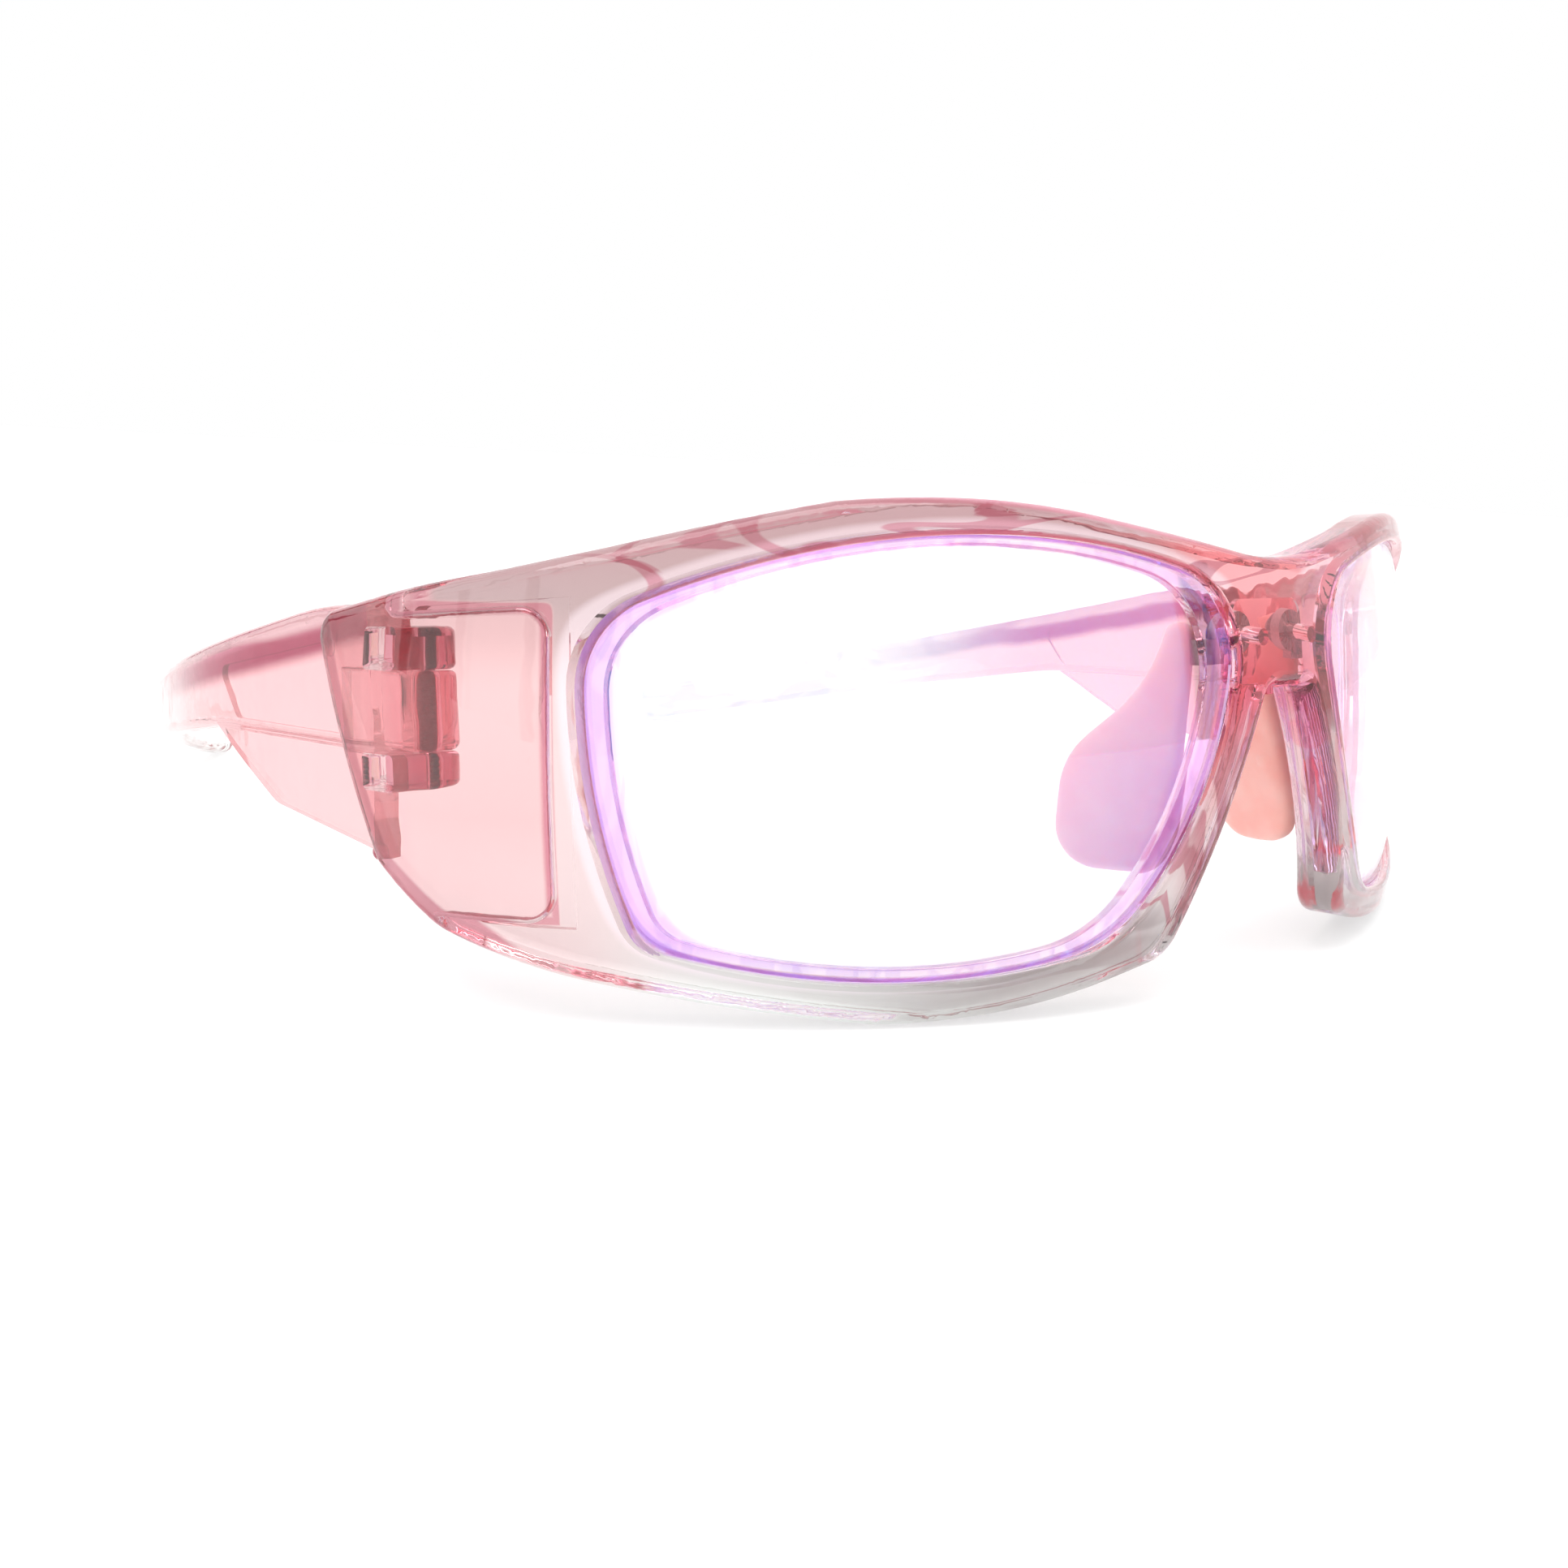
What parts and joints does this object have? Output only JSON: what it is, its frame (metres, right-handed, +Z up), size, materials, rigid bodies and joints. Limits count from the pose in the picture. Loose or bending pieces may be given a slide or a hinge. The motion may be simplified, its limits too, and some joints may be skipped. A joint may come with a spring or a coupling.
{
  "type": "wraparound blue light glasses",
  "caption": "Clear pink wraparound glasses with curved lenses in a full-rim front with side shields, folding hinged temples and soft nose pads screwed to a bridge block.",
  "frame": {"origin": "middle of the box round the whole part, on the table it lies on", "axes": "+X to the wearer's left along the width, +Y from the front back to the temple ends, +Z up; the part lies open on a table, on its rims and temple ends"},
  "size_m": [0.1478, 0.1546, 0.0462],
  "materials": {
    "frame_plastic": "clear pink moulded plastic, polished",
    "temple_plastic": "clear pink moulded plastic fading to clear, polished",
    "lens_plastic": "optically clear plastic with a faint violet coating",
    "screw_steel": "small machined screws",
    "arm_steel": "bent strip",
    "pad_silicone": "soft matt silicone"
  },
  "bodies": {
    "front": {"front_frame": "frame_plastic", "lens_left": "lens_plastic", "lens_right": "lens_plastic", "hinge_screw_left": "screw_steel", "hinge_screw_right": "screw_steel", "nose_screw_left": "screw_steel", "nose_screw_right": "screw_steel", "nose_arm_left": "arm_steel", "nose_arm_right": "arm_steel", "nose_pad_left": "pad_silicone", "nose_pad_right": "pad_silicone"},
    "left_temple": {"temple_left": "temple_plastic"},
    "right_temple": {"temple_right": "temple_plastic"}
  },
  "joints": [
    {"name": "left_hinge", "type": "hinge", "parent": "front", "child": "left_temple", "pos_m": [0.067, -0.0302, 0.02479], "axis": [0, 0.0993, 0.9951], "range_deg": [0, 70]},
    {"name": "right_hinge", "type": "hinge", "parent": "front", "child": "right_temple", "pos_m": [-0.067, -0.0302, 0.02479], "axis": [0, -0.0993, -0.9951], "range_deg": [0, 90]}
  ]
}
